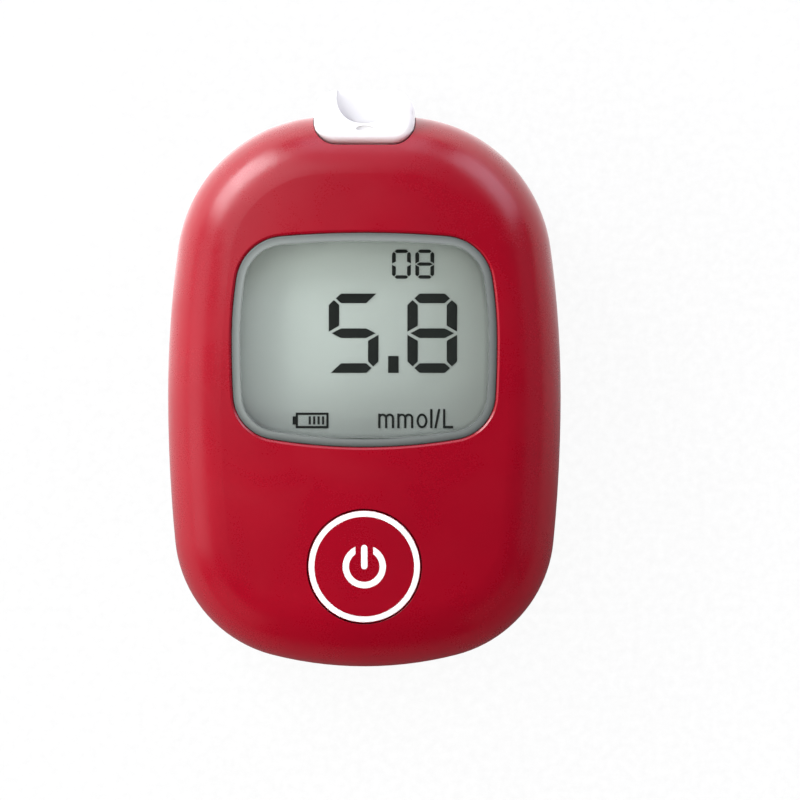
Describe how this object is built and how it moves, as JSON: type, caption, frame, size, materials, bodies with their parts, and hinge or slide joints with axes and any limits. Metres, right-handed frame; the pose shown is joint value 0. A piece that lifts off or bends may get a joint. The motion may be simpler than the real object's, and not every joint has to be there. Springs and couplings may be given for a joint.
{
  "type": "blood glucose meter",
  "caption": "Handheld blood glucose meter with a crowned oval casing, segment display, one round push button, strip port and a sliding battery door.",
  "frame": {"origin": "middle of the overall footprint, on the surface the meter lies on", "axes": "+Z out of the display, +Y towards the strip port, +X to the right when reading the display"},
  "size_m": [0.058, 0.085, 0.0219],
  "materials": {
    "shell_red": "glossy moulded plastic",
    "shell_white": "satin moulded plastic",
    "clear_lens": "clear acrylic",
    "gasket_foam": "closed-cell foam",
    "lcd_glass": "clear plate",
    "lcd_backing": "grey-green reflector film",
    "lcd_ink": "dark display segments",
    "frame_plastic": "moulded",
    "zebra_rubber": "layered silicone",
    "board_green": "solder mask",
    "chip_black": "moulded package",
    "can_metal": "plated can",
    "component_body": "ceramic chips",
    "buzzer_black": "moulded",
    "silicone": "translucent silicone",
    "carbon": "conductive rubber",
    "port_white": "satin moulded plastic",
    "connector_black": "moulded",
    "contact_gold": "gold plated",
    "battery_jacket": "printed foil jacket",
    "spring_steel": "nickel plated",
    "screw_steel": "zinc plated",
    "label_film": "blank silver film"
  },
  "bodies": {
    "case": {"front_shell": "shell_red", "rear_shell": "shell_white", "display_lens": "clear_lens", "lcd_gasket": "gasket_foam", "lcd_front_glass": "lcd_glass", "lcd_rear_glass": "lcd_glass", "lcd_reflector": "lcd_backing", "lcd_segments": "lcd_ink", "lcd_frame": "frame_plastic", "zebra_strip": "zebra_rubber", "main_board": "board_green", "processor": "chip_black", "amplifier": "chip_black", "crystal": "can_metal", "small_components": "component_body", "buzzer": "buzzer_black", "button_dome": "silicone", "strip_port": "port_white", "strip_connector": "connector_black", "strip_contacts": "contact_gold", "battery_left": "battery_jacket", "battery_right": "battery_jacket", "battery_springs": "spring_steel", "battery_contacts": "spring_steel", "battery_link": "spring_steel", "case_screws": "screw_steel", "board_screws": "screw_steel"},
    "door": {"battery_door": "shell_white", "rating_label": "label_film"},
    "button": {"button_cap": "shell_red", "button_ring": "port_white", "button_symbol": "port_white", "carbon_pill": "carbon"}
  },
  "joints": [
    {"name": "button_press", "type": "slide", "parent": "case", "child": "button", "axis": [0, 0, -1], "range_m": [0, 0.0008], "stiffness_N_per_m": 400, "springref_m": -0.001, "deforming": ["button_dome"]},
    {"name": "door_slide", "type": "slide", "parent": "case", "child": "door", "axis": [0, -1, 0], "range_m": [0, 0.064]}
  ]
}
